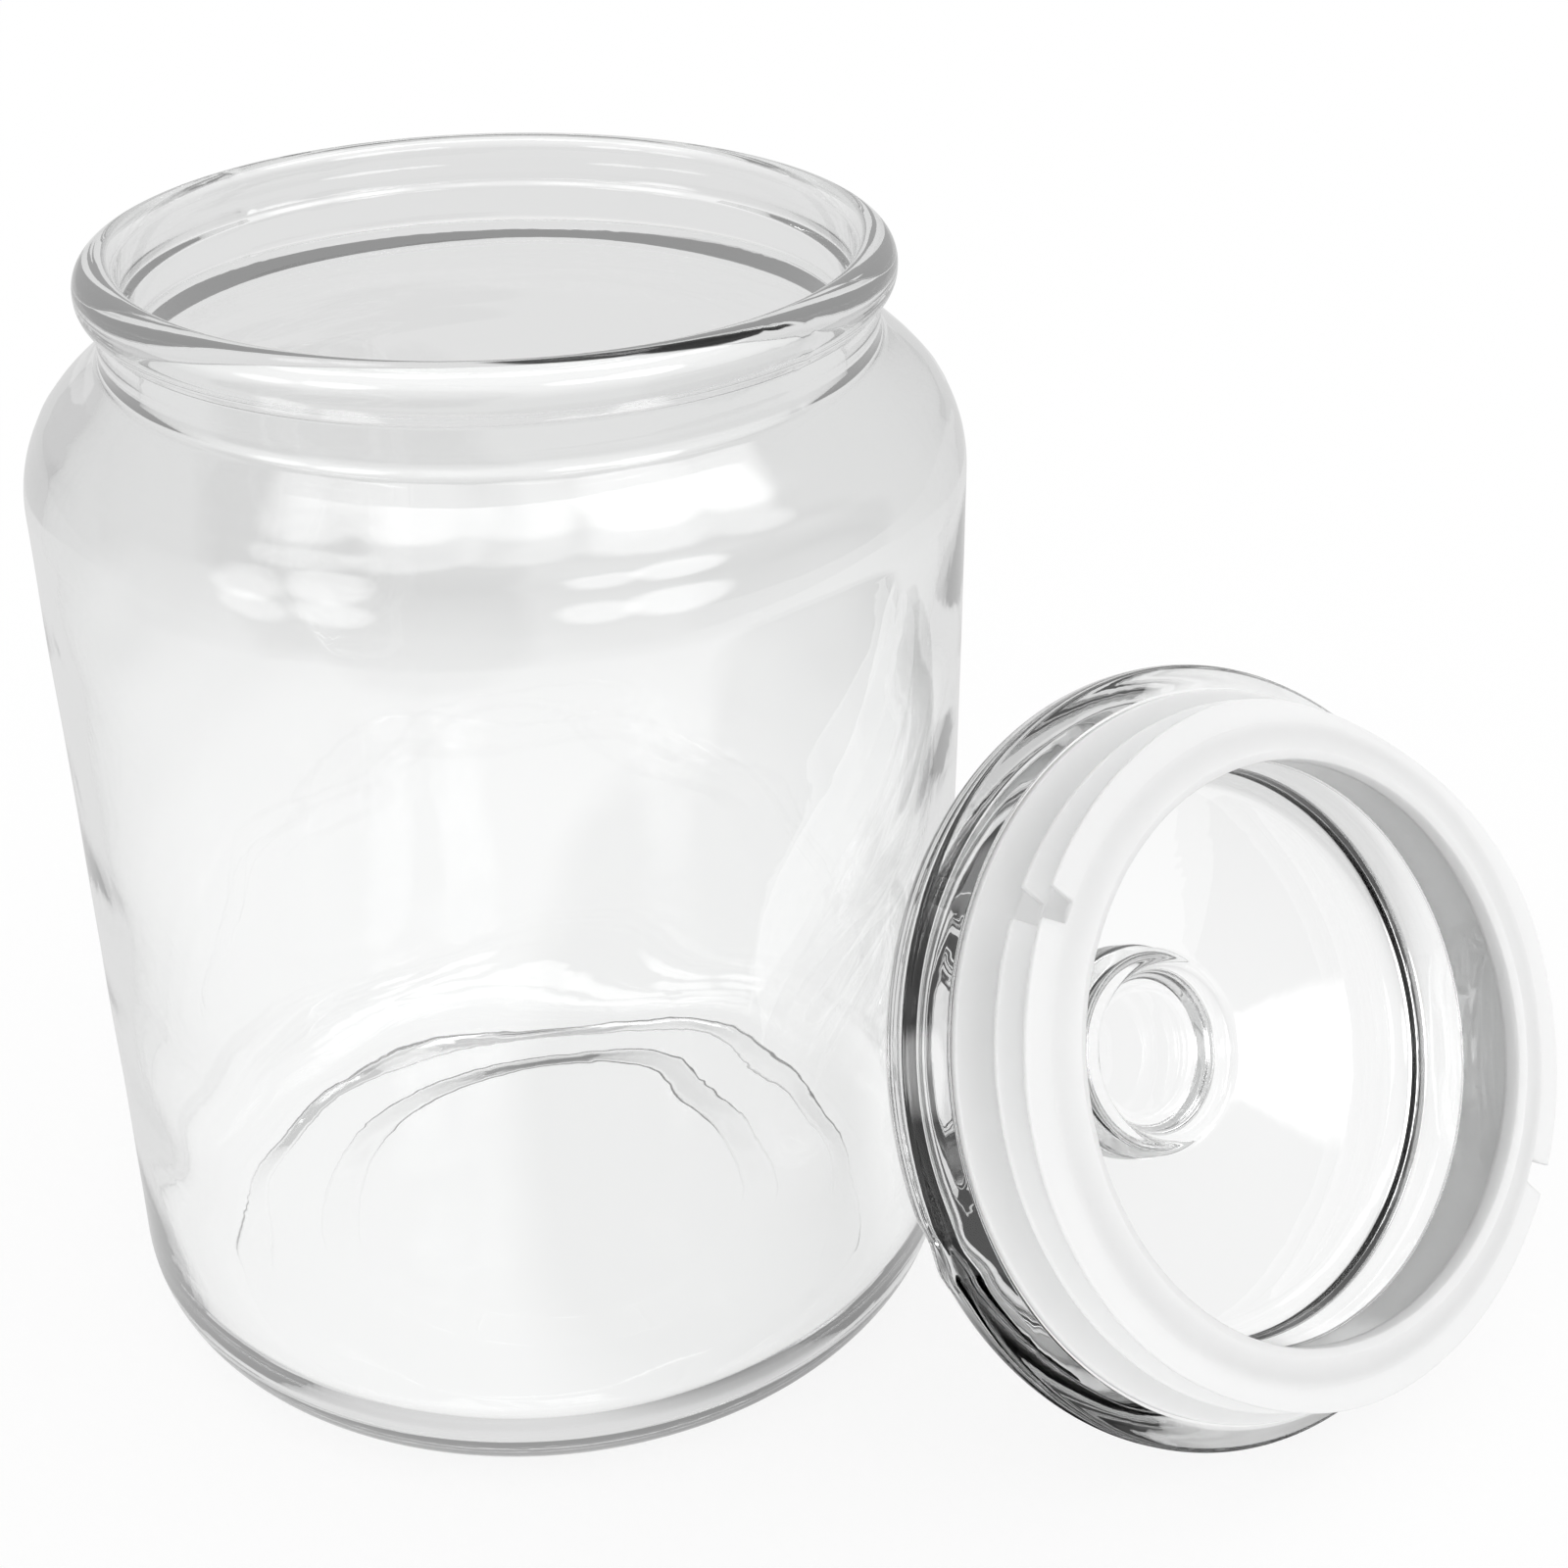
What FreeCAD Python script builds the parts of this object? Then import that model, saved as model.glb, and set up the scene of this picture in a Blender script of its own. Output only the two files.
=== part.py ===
"""A clear glass storage jar with its glass lid taken off and leaned against it.

Three pieces: the jar, the lid, and the translucent plastic gasket clipped on the lid's collar.
Sizes are in millimetres. The origin is the centre of the jar's base, and +Z is up.
"""

import FreeCAD, Part
import math
import os

# Jar, outside
JAR_HEIGHT = 218.0
BODY_RADIUS = 86.0
BODY_TAPER = 0.7  # how much narrower the body is at its shoulder than at its foot
HEEL_RADIUS = 15.5
SHOULDER_RADIUS = 24.0
SHOULDER_SLOPE = 40.0  # degrees above the horizontal
NECK_LENGTH = 17.3  # from the top of the rim to where the shoulder meets the neck
NECK_WALL = 5.8
NECK_ROUND = 4.0  # where the shoulder turns into the neck
RIM_BEAD_HEIGHT = 9.8
RIM_BEAD_OVERHANG = 2.7  # how far the bead stands out from the neck
RIM_BEAD_FULLNESS = 0.94  # 1 would round the bead with no flat left on its side
RIM_TOP_FLAT = 0.2

# Jar, inside
MOUTH_RADIUS = 63.2
MOUTH_LEAD_IN = 1.0  # extra radius above the ledge in the mouth
MOUTH_LEDGE_DEPTH = 8.6
BORE_DEPTH = 21.0
BORE_ROUND = 3.0
BODY_WALL = 4.6
FLOOR_THICKNESS = 6.5
INNER_HEEL_RADIUS = 13.0

# Jar, underside
FOOT_RING_WIDTH = 4.6
FOOT_RING_DEPTH = 1.3
PUNT_RADIUS = 45.4
PUNT_DEPTH = 1.4
PUNT_STEP_WIDTH = 1.6

# Lid, in its own frame: w = 0 is the underside of the brim, and +w points to the knob
BRIM_OVERHANG = 4.5  # how far the lid's brim stands out past the rim bead
BRIM_THICKNESS = 15.0
BRIM_WIDEST = 6.5  # height of the brim's vertical side above its underside
SEAT_INSET = 6.3  # from the brim's widest point in to the edge of its flat underside
COLLAR_WALL = 4.0
COLLAR_LENGTH = 16.9
CEILING_HEIGHT = 13.0  # the underside of the dome above the brim's underside, at the collar
CEILING_ROUND = 5.0
DOME_SHOULDER_INSET = 12.6  # from the brim's widest point in to where the dome starts
DOME_SHOULDER_RISE = 1.8
DOME_SHOULDER_ROUND = 8.0
DOME_RISE = 9.6
DOME_WALL = 5.6
KNOB_RADIUS = 22.4
KNOB_NECK_RADIUS = 16.6
KNOB_NECK_ROUND = 3.0
KNOB_HEIGHT = 19.0
KNOB_FLARE = 6.5  # height of the knob's widest part above the dome
KNOB_FLARE_ROUND = 3.5
KNOB_TOP_ROUND = 6.5
KNOB_TOP_CROWN = 1.5
HOLLOW_RADIUS = 17.6
HOLLOW_DEPTH = 8.4
HOLLOW_TAPER = 3.4
HOLLOW_ROUND = 4.0
HOLLOW_EDGE_ROUND = 2.4

# Gasket, in the lid's frame
SLEEVE_CLEARANCE = 0.2  # between the gasket and the collar
SLEEVE_WALL = 1.4
SLEEVE_GAP = 2.0  # between the sleeve and the mouth
FLANGE_THICKNESS = 1.6
FLANGE_INSET = 0.3
FIN_SQUEEZE = 3.4  # how far the fins' free radius passes the mouth's
FIN_ROOT = 1.6
FIN_TIP = 1.1
FIN_PITCH = 8.0
LIP_DROP = 1.4  # how far the lip round the collar's end drops below the last fin
LIP_SKIRT = 2.2  # how far the lip turns back up inside the collar
NOTCH_WIDTH = 5.2
NOTCH_COUNT = 2
NOTCH_ANGLE = 44.0  # of the first notch, from the lid's level diameter

# Rounds shared by the small corners
GLASS_EDGE = 1.0
GASKET_EDGE = 0.4

# How the lid leans on the jar
LID_BEARING = -24.0  # where the lid stands around the jar, from +X
LID_FACING = 30.0  # the way its open side faces, from -Y towards +X
LID_LEAN = 31.0  # how far it leans back from upright
LID_GAP = 0.3
PLACE_TOLERANCE = 0.001

# Sizes that follow from the others
NECK_RADIUS = MOUTH_RADIUS + NECK_WALL
RIM_RADIUS = NECK_RADIUS + RIM_BEAD_OVERHANG
RIM_BEAD_SIDE = RIM_BEAD_HEIGHT - RIM_BEAD_OVERHANG
RIM_BEAD_ROUND = RIM_BEAD_FULLNESS * RIM_BEAD_SIDE / (1 + math.tan(math.pi / 8))
RIM_INNER_ROUND = RIM_RADIUS - MOUTH_RADIUS - MOUTH_LEAD_IN - RIM_TOP_FLAT - RIM_BEAD_ROUND
BRIM_RADIUS = RIM_RADIUS + BRIM_OVERHANG
BRIM_TOP_ROUND = (BRIM_THICKNESS - BRIM_WIDEST) * 0.75
BRIM_LOWER_ROUND = BRIM_WIDEST * 0.6
SEAT_RADIUS = BRIM_RADIUS - SEAT_INSET
SLEEVE_RADIUS = MOUTH_RADIUS - SLEEVE_GAP
GASKET_BORE = SLEEVE_RADIUS - SLEEVE_WALL
COLLAR_RADIUS = GASKET_BORE - SLEEVE_CLEARANCE
COLLAR_BORE = COLLAR_RADIUS - COLLAR_WALL
FIN_RADIUS = MOUTH_RADIUS + FIN_SQUEEZE


def toward(a, b, distance):
    """The point that lies a distance from a on the way to b."""
    share = distance / math.hypot(b[0] - a[0], b[1] - a[1])
    return (a[0] + (b[0] - a[0]) * share, a[1] + (b[1] - a[1]) * share)


def spot(point):
    """A point of an outline, given as radius and height, in the XZ plane."""
    return FreeCAD.Vector(point[0], 0, point[1])


def rounded(before, here, after, radius):
    """The arc of a radius that rounds the corner at here: its start, its middle and its end."""
    to_before = math.atan2(before[1] - here[1], before[0] - here[0])
    to_after = math.atan2(after[1] - here[1], after[0] - here[0])
    half = abs(math.remainder(to_after - to_before, 2 * math.pi)) / 2
    back = radius / math.tan(half)
    start, end = toward(here, before, back), toward(here, after, back)
    chord_middle = ((start[0] + end[0]) / 2, (start[1] + end[1]) / 2)
    return start, toward(here, chord_middle, radius / math.sin(half) - radius), end


def outline(corners):
    """A closed wire through corners given as (radius, height, round), each rounded by its own arc."""
    bends = []
    for i, (radius, height, corner_round) in enumerate(corners):
        here = (radius, height)
        before, after = corners[i - 1][:2], corners[(i + 1) % len(corners)][:2]
        bends.append(rounded(before, here, after, corner_round) if corner_round else (here, None, here))
    edges = []
    for (_, _, last), (start, middle, end) in zip(bends[-1:] + bends, bends):
        edges.append(Part.LineSegment(spot(last), spot(start)).toShape())
        if middle:
            edges.append(Part.Arc(spot(start), spot(middle), spot(end)).toShape())
    return Part.Wire(edges)


def turned(corners):
    """The solid that an outline sweeps in one turn about the Z axis."""
    solid = Part.Face(outline(corners)).revolve(FreeCAD.Vector(0, 0, 0), FreeCAD.Vector(0, 0, 1), 360)
    return Part.Solid(solid) if solid.ShapeType == "Shell" else solid


def jar_side():
    """The jar's outer side, from its heel to the top of its rim."""
    slope = math.tan(math.radians(SHOULDER_SLOPE))
    top_radius = BODY_RADIUS - BODY_TAPER
    neck_foot = JAR_HEIGHT - NECK_LENGTH
    bead_foot = JAR_HEIGHT - RIM_BEAD_HEIGHT
    return [
        (BODY_RADIUS, 0, HEEL_RADIUS),
        (top_radius, neck_foot - (top_radius - NECK_RADIUS) * slope, SHOULDER_RADIUS),
        (NECK_RADIUS, neck_foot, NECK_ROUND),
        (NECK_RADIUS, bead_foot, GLASS_EDGE),
        (RIM_RADIUS, bead_foot + RIM_BEAD_OVERHANG, RIM_BEAD_ROUND),
        (RIM_RADIUS, JAR_HEIGHT, RIM_BEAD_ROUND),
    ]


def jar_base():
    """The jar's underside, from its middle to the edge of its foot ring."""
    foot = BODY_RADIUS - HEEL_RADIUS - FOOT_RING_WIDTH
    return [
        (0, FOOT_RING_DEPTH + PUNT_DEPTH, 0),
        (PUNT_RADIUS, FOOT_RING_DEPTH + PUNT_DEPTH, GLASS_EDGE),
        (PUNT_RADIUS + PUNT_STEP_WIDTH, FOOT_RING_DEPTH, GLASS_EDGE),
        (foot - FOOT_RING_DEPTH, FOOT_RING_DEPTH, GLASS_EDGE),
        (foot, 0, GLASS_EDGE),
    ]


def jar_inside():
    """The jar's inner outline, from the top of its rim to the middle of its floor."""
    slope = math.tan(math.radians(SHOULDER_SLOPE))
    lead_in = MOUTH_RADIUS + MOUTH_LEAD_IN
    ledge = JAR_HEIGHT - MOUTH_LEDGE_DEPTH
    bore_foot = JAR_HEIGHT - BORE_DEPTH
    wall = BODY_RADIUS - BODY_TAPER - BODY_WALL
    return [
        (lead_in, JAR_HEIGHT, RIM_INNER_ROUND),
        (lead_in, ledge, GLASS_EDGE),
        (MOUTH_RADIUS, ledge - MOUTH_LEAD_IN, GLASS_EDGE),
        (MOUTH_RADIUS, bore_foot, BORE_ROUND),
        (wall, bore_foot - (wall - MOUTH_RADIUS) * slope, SHOULDER_RADIUS - BODY_WALL),
        (BODY_RADIUS - BODY_WALL, FLOOR_THICKNESS, INNER_HEEL_RADIUS),
        (0, FLOOR_THICKNESS, 0),
    ]


def lid_outside():
    """The lid's outer side, from the end of its collar, round its brim, to the knob's top."""
    crown = CEILING_HEIGHT + DOME_RISE + DOME_WALL
    knob_top = crown + KNOB_HEIGHT
    dome_start = BRIM_THICKNESS + DOME_SHOULDER_RISE
    return [
        (COLLAR_RADIUS, -COLLAR_LENGTH, GLASS_EDGE),
        (COLLAR_RADIUS, 0, GLASS_EDGE),
        (SEAT_RADIUS, 0, GLASS_EDGE),
        (BRIM_RADIUS, BRIM_WIDEST, BRIM_LOWER_ROUND),
        (BRIM_RADIUS, BRIM_THICKNESS, BRIM_TOP_ROUND),
        (BRIM_RADIUS - DOME_SHOULDER_INSET, dome_start, DOME_SHOULDER_ROUND),
        (KNOB_NECK_RADIUS, crown, KNOB_NECK_ROUND),
        (KNOB_RADIUS, crown + KNOB_FLARE, KNOB_FLARE_ROUND),
        (KNOB_RADIUS, knob_top - KNOB_TOP_CROWN, KNOB_TOP_ROUND),
        (0, knob_top, 0),
    ]


def lid_inside():
    """The lid's hollow side, from the end of the hollow in its knob to the end of its collar."""
    peak = CEILING_HEIGHT + DOME_RISE
    return [
        (0, peak + HOLLOW_DEPTH, 0),
        (HOLLOW_RADIUS - HOLLOW_TAPER, peak + HOLLOW_DEPTH, HOLLOW_ROUND),
        (HOLLOW_RADIUS, peak, HOLLOW_EDGE_ROUND),
        (COLLAR_BORE, CEILING_HEIGHT, CEILING_ROUND),
        (COLLAR_BORE, -COLLAR_LENGTH, GLASS_EDGE),
    ]


def fin(root):
    """One of the gasket's fins, as an outline that tapers from its root."""
    return [
        (SLEEVE_RADIUS, root + FIN_ROOT / 2, GASKET_EDGE),
        (FIN_RADIUS, root + FIN_TIP / 2, 0),
        (FIN_RADIUS, root - FIN_TIP / 2, 0),
        (SLEEVE_RADIUS, root - FIN_ROOT / 2, GASKET_EDGE),
    ]


def gasket_outline():
    """The gasket: a flange under the brim, a sleeve on the collar, two fins, and a lip round its end."""
    flange = SEAT_RADIUS - FLANGE_INSET
    skirt = COLLAR_BORE - SLEEVE_CLEARANCE
    end = -COLLAR_LENGTH - SLEEVE_CLEARANCE
    lip_end = end - FIN_ROOT / 2 - LIP_DROP
    return [
        (GASKET_BORE, 0, GLASS_EDGE),
        (flange, 0, 0),
        (flange, -FLANGE_THICKNESS, GASKET_EDGE),
        (SLEEVE_RADIUS, -FLANGE_THICKNESS, GASKET_EDGE),
        *fin(end + FIN_PITCH),
        *fin(end),
        (COLLAR_BORE, lip_end, GASKET_EDGE),
        (skirt - SLEEVE_WALL, lip_end + LIP_DROP / 2, GASKET_EDGE),
        (skirt - SLEEVE_WALL, end + LIP_SKIRT, 0),
        (skirt, end + LIP_SKIRT, 0),
        (skirt, end, 0),
        (GASKET_BORE, end, 0),
    ]


def notched(gasket):
    """The gasket with its vent notches cut across both fins."""
    bottom = -COLLAR_LENGTH - 2 * FIN_ROOT
    height = FIN_PITCH + 3 * FIN_ROOT
    axis = FreeCAD.Vector(0, 0, 1)
    for k in range(NOTCH_COUNT):
        corner = FreeCAD.Vector(SLEEVE_RADIUS, -NOTCH_WIDTH / 2, bottom)
        cutter = Part.makeBox(2 * FIN_SQUEEZE + SLEEVE_GAP, NOTCH_WIDTH, height, corner)
        cutter.rotate(FreeCAD.Vector(0, 0, 0), axis, NOTCH_ANGLE + k * 360 / NOTCH_COUNT)
        gasket = gasket.cut(cutter)
    return gasket.Solids[0]


def leaning(lid):
    """Where the lid's frame goes: its brim on the surface the jar stands on, its back against the jar."""
    facing, lean, bearing = (math.radians(a) for a in (LID_FACING, LID_LEAN, LID_BEARING))
    level = FreeCAD.Vector(-math.cos(facing), -math.sin(facing), 0)
    to_knob = FreeCAD.Vector(
        -math.cos(lean) * math.sin(facing), math.cos(lean) * math.cos(facing), -math.sin(lean)
    )
    turn = FreeCAD.Rotation(level, to_knob.cross(level), to_knob, "ZXY")
    leaned = lid.copy()
    leaned.Placement = FreeCAD.Placement(FreeCAD.Vector(), turn)
    lowest = leaned.optimalBoundingBox(False).ZMin
    outside = turned([(0, 0, 0), *jar_side(), (0, JAR_HEIGHT, 0)])

    def place(distance):
        spot = FreeCAD.Vector(distance * math.cos(bearing), distance * math.sin(bearing), -lowest)
        return FreeCAD.Placement(spot, turn)

    near, far = BODY_RADIUS, BODY_RADIUS + 2 * BRIM_RADIUS
    while far - near > PLACE_TOLERANCE:
        middle = (near + far) / 2
        leaned.Placement = place(middle)
        near, far = (middle, far) if leaned.distToShape(outside)[0] < LID_GAP else (near, middle)
    return place(far)


def make():
    """Every piece by its node's name."""
    jar = turned(jar_base() + jar_side() + jar_inside())
    lid = turned(lid_inside() + lid_outside())
    gasket = notched(turned(gasket_outline()))
    lid.Placement = gasket.Placement = leaning(lid)
    return {"jar": jar, "lid": lid, "gasket": gasket}


os.makedirs("parts", exist_ok=True)
for name, shape in make().items():
    shape.exportStep("parts/" + name + ".step")
    box = shape.BoundBox
    print(name, shape.ShapeType, shape.isValid(), round(shape.Volume), "mm3", box)
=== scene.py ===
"""The looks of a clear glass storage jar, open, with its glass lid and gasket leaned against it.

Shapes are worked out in millimetres, in each piece's own lathe frame, and placed in metres.
"""

import math

import bpy
import numpy as np
from mathutils import Matrix, Vector


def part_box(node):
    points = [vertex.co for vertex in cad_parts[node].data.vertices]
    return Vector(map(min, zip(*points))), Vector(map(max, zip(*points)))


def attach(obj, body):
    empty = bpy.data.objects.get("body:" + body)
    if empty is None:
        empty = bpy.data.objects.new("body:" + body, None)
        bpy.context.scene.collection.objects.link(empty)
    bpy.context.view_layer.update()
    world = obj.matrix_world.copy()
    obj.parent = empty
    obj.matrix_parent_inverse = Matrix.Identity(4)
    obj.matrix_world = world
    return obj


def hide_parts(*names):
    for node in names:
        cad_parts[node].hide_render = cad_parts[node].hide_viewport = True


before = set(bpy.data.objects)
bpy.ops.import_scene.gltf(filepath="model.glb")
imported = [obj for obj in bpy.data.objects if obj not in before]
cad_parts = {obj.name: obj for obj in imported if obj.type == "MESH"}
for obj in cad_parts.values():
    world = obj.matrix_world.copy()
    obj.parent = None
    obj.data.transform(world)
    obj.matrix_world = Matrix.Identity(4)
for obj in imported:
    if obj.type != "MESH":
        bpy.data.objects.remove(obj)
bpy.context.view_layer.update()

MM = 0.001

# How finely the outlines are divided
ARC_FINENESS = 0.06
FINEST_STEP = 0.2
LEAST_ARC_PIECES = 4
AXIS_REACH = 0.001
WALL_STEP = 4.0
LID_STEP = 2.0
GASKET_STEP = 1.0
JAR_TURNS = 288
LID_TURNS = 320
GASKET_TURNS = 540

# Jar
JAR_HEIGHT = 218.0
BODY_RADIUS = 86.0
BODY_TAPER = 0.7
HEEL_RADIUS = 15.5
SHOULDER_RADIUS = 24.0
SHOULDER_SLOPE = 40.0
NECK_LENGTH = 17.3
NECK_WALL = 5.8
NECK_ROUND = 4.0
RIM_BEAD_HEIGHT = 9.8
RIM_BEAD_OVERHANG = 2.7
RIM_BEAD_FULLNESS = 0.94
RIM_TOP_FLAT = 0.2
MOUTH_RADIUS = 63.2
MOUTH_LEAD_IN = 1.0
MOUTH_LEDGE_DEPTH = 8.6
BORE_DEPTH = 21.0
BORE_ROUND = 3.0
BODY_WALL = 4.6
FLOOR_THICKNESS = 6.5
INNER_HEEL_RADIUS = 13.0
FOOT_RING_WIDTH = 4.6
FOOT_RING_DEPTH = 1.3
PUNT_RADIUS = 45.4
PUNT_DEPTH = 1.4
PUNT_STEP_WIDTH = 1.6

# Lid
BRIM_OVERHANG = 4.5
BRIM_THICKNESS = 15.0
BRIM_WIDEST = 6.5
BRIM_TOP_FULLNESS = 0.75
BRIM_LOWER_FULLNESS = 0.6
SEAT_INSET = 6.3
COLLAR_WALL = 4.0
COLLAR_LENGTH = 16.9
CEILING_HEIGHT = 13.0
CEILING_ROUND = 5.0
DOME_SHOULDER_INSET = 12.6
DOME_SHOULDER_RISE = 1.8
DOME_SHOULDER_ROUND = 8.0
DOME_RISE = 9.6
DOME_WALL = 5.6
KNOB_RADIUS = 22.4
KNOB_NECK_RADIUS = 16.6
KNOB_NECK_ROUND = 3.0
KNOB_HEIGHT = 19.0
KNOB_FLARE = 6.5
KNOB_FLARE_ROUND = 3.5
KNOB_TOP_ROUND = 6.5
KNOB_TOP_CROWN = 1.5
HOLLOW_RADIUS = 17.6
HOLLOW_DEPTH = 8.4
HOLLOW_TAPER = 3.4
HOLLOW_ROUND = 4.0
HOLLOW_EDGE_ROUND = 2.4

# Gasket
SLEEVE_CLEARANCE = 0.2
SLEEVE_WALL = 1.4
SLEEVE_GAP = 2.0
FLANGE_THICKNESS = 1.6
FLANGE_INSET = 0.3
FIN_SQUEEZE = 3.4
FIN_ROOT = 1.6
FIN_TIP = 1.1
FIN_PITCH = 8.0
LIP_DROP = 1.4
LIP_SKIRT = 2.2
NOTCH_WIDTH = 5.2
NOTCH_ANGLE = 44.0

GLASS_EDGE = 1.0
GASKET_EDGE = 0.4

# How the lid leans
LID_FACING = math.radians(30.0)
LID_LEAN = math.radians(31.0)

# Unevenness of the glass. A sunk swell stays inside the plain shape
OUTER_SWELL = 0.07
INNER_SWELL = 0.2
LID_SWELL = 0.03
SWELL_SINK = 2.0
SWELL_WAVES = 16
SWELL_LONGEST = 4
BODY_SWELL_FADE = 8.0
FLOOR_SWELL_SHARE = 0.1
FLOOR_SWELL_RADII = (20.0, 50.0)
FLOOR_SWELL_RISE = 2.0
LID_SWELL_RADII = (8.0, 20.0)

# The mould's marks on the jar. Widths across a seam are in degrees
PARTING_HEIGHT = 188.9
PARTING_RIDGE = 0.16
PARTING_WIDTH = 0.9
PARTING_WANDER = 1.6
PARTING_PHASE = 0.3
PARTING_RAGGEDNESS = 0.35
NECK_RINGS = (203.6, 205.6, 207.2)
NECK_RING_RIDGE = 0.09
NECK_RING_WIDTH = 0.5
MOULD_SEAMS = (-46.0, 134.0)
SEAM_RIDGE = 0.18
SEAM_WIDTH = 0.7
SEAM_FADE_START = 3.0
SEAM_FADE_END = 0.5

# Wear under the jar. A gap is its middle and half width, in degrees
FOOT_GAPS = ((-127, 10), (-71, 9), (-22, 8), (-174, 8), (118, 16), (66, 20), (34, 10))
FOOT_WEAR = 1.5
GAP_WEAR = 3.2
PUNT_WEAR = 3.0
FOOT_INNER_REACH = 6.7
FOOT_OUTER_REACH = 4.0
PUNT_REACH = 8.0
UNDERSIDE_MARGIN = 1.0

# A kink in the lid's brim, with a shallower swelling beside it, in millimetres and degrees
KINK_ANGLE = 354.0
KINK_DEPTH = 0.5
KINK_WIDTH = 2.2
KINK_SWELLING = 0.7
KINK_SWELLING_TURN = 5.0
KINK_SWELLING_WIDTH = 1.8
KINK_INNER_REACH = 6.0
KINK_OUTER_REACH = 1.0

# How the gasket's outer fin is bent. A bend is its depth, and its middle and half width in degrees
FIN_BENDS = ((2.6, 133, 26), (0.9, 305, 24))
FIN_RAGGEDNESS = 0.22
FIN_RAGGED_OFFSET = 1.5
FIN_DROOP = 0.5
NOTCH_SOFTNESS = 0.4
NOTCH_STUB = 0.15

# Sizes that follow from the others
NECK_RADIUS = MOUTH_RADIUS + NECK_WALL
RIM_RADIUS = NECK_RADIUS + RIM_BEAD_OVERHANG
RIM_BEAD_ROUND = RIM_BEAD_FULLNESS * (RIM_BEAD_HEIGHT - RIM_BEAD_OVERHANG) / (1 + math.tan(math.pi / 8))
RIM_INNER_ROUND = RIM_RADIUS - MOUTH_RADIUS - MOUTH_LEAD_IN - RIM_TOP_FLAT - RIM_BEAD_ROUND
BRIM_RADIUS = RIM_RADIUS + BRIM_OVERHANG
BRIM_TOP_ROUND = (BRIM_THICKNESS - BRIM_WIDEST) * BRIM_TOP_FULLNESS
BRIM_LOWER_ROUND = BRIM_WIDEST * BRIM_LOWER_FULLNESS
SEAT_RADIUS = BRIM_RADIUS - SEAT_INSET
SLEEVE_RADIUS = MOUTH_RADIUS - SLEEVE_GAP
GASKET_BORE = SLEEVE_RADIUS - SLEEVE_WALL
COLLAR_RADIUS = GASKET_BORE - SLEEVE_CLEARANCE
COLLAR_BORE = COLLAR_RADIUS - COLLAR_WALL
FIN_RADIUS = MOUTH_RADIUS + FIN_SQUEEZE
NOTCH_HALF = math.degrees(math.asin(NOTCH_WIDTH / 2 / FIN_RADIUS))

# The camera, in metres and degrees, with its lens and sensor in millimetres
CAMERA_PLACE = Vector((0.0, -0.4039, 0.33735))
CAMERA_YAW = math.radians(7.320)
CAMERA_PITCH = math.radians(30.015)
CAMERA_ROLL = math.radians(-0.1125)
CAMERA_LENS = 53.2
CAMERA_SENSOR = 36.0
CAMERA_NEAR = 0.01

# Looks. A pair of tints or of roughnesses is the noise's two ends
GLASS_IOR = 1.52
GLASS_TINTS = ((0.988, 0.992, 0.99, 1), (0.998, 1.0, 0.999, 1))
GLASS_ROUGHNESS = (0.0, 0.06)
HAZE_FROM = 0.5
HAZE_TO = 0.8
HAZE = {"Scale": 28.0, "Detail": 4.0}
SWIRL = {"Scale": 55.0, "Distortion": 1.5}
SWIRL_STRENGTH = 0.25
PLASTIC_IOR = 1.5
PLASTIC_TINTS = ((0.965, 0.97, 0.968, 1), (0.995, 0.998, 0.997, 1))
PLASTIC_ROUGHNESS = (0.34, 0.52)
PLASTIC_CLOUD = {"Scale": 60.0, "Detail": 3.0}
PLASTIC_GRAIN = {"Scale": 900.0}
GRAIN_STRENGTH = 0.15
SUBSURFACE_WEIGHT = 0.8
SUBSURFACE_DEPTH = 4.0
BUMP_HEIGHT = 0.1
WHITE = (1, 1, 1, 1)

# Light. The room, its softboxes, the flag and the cards are seen in reflections only. A softbox is
# its middle, its half width and soft edge in degrees, and its level. The flag, which is dark, is the
# same with no level. A card, which is dark too, is its middle on the floor and its radius, in metres
ROOM_LEVEL = 0.6
SOFTBOXES = (
    ((-0.52, -0.08, 0.85), 5.0, 6.0, 2.6),
    ((-0.25, -0.17, 0.95), 6.0, 6.0, 3.2),
    ((0.05, -0.20, 0.97), 6.0, 6.0, 2.6),
    ((0.35, -0.14, 0.92), 6.0, 6.0, 4.2),
    ((0.57, 0.02, 0.82), 4.0, 6.0, 3.0),
    ((-0.85, -0.40, 0.30), 5.0, 6.0, 3.0),
    ((-0.62, -0.62, 0.42), 6.0, 6.0, 3.6),
    ((0.32, -0.80, 0.50), 5.0, 5.0, 3.6),
    ((0.58, -0.66, 0.48), 8.0, 5.0, 4.4),
)
FLAG = ((0.93, -0.33, 0.12), 26.0, 8.0)
MOST_BOUNCES = 10
JAR_TRAPPED_LEVEL = 0.14
LID_TRAPPED_LEVEL = 0.03
FLOOR_RADIUS = 4.0
FLOOR_SIDES = 96
FLOOR_GLOW = 0.85
FLOOR_IN_REFLECTIONS = 0.75
CARDS = (((0.12, -0.19, 0.0), 0.12), ((0.34, -0.12, 0.0), 0.16))
CARD_EDGE = 0.04
BACKDROP_NEAR = 0.16
BACKDROP_FAR = 0.5
BACKDROP_LEVEL = 0.76


# --- Shapes ---------------------------------------------------------------------------------------


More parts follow.
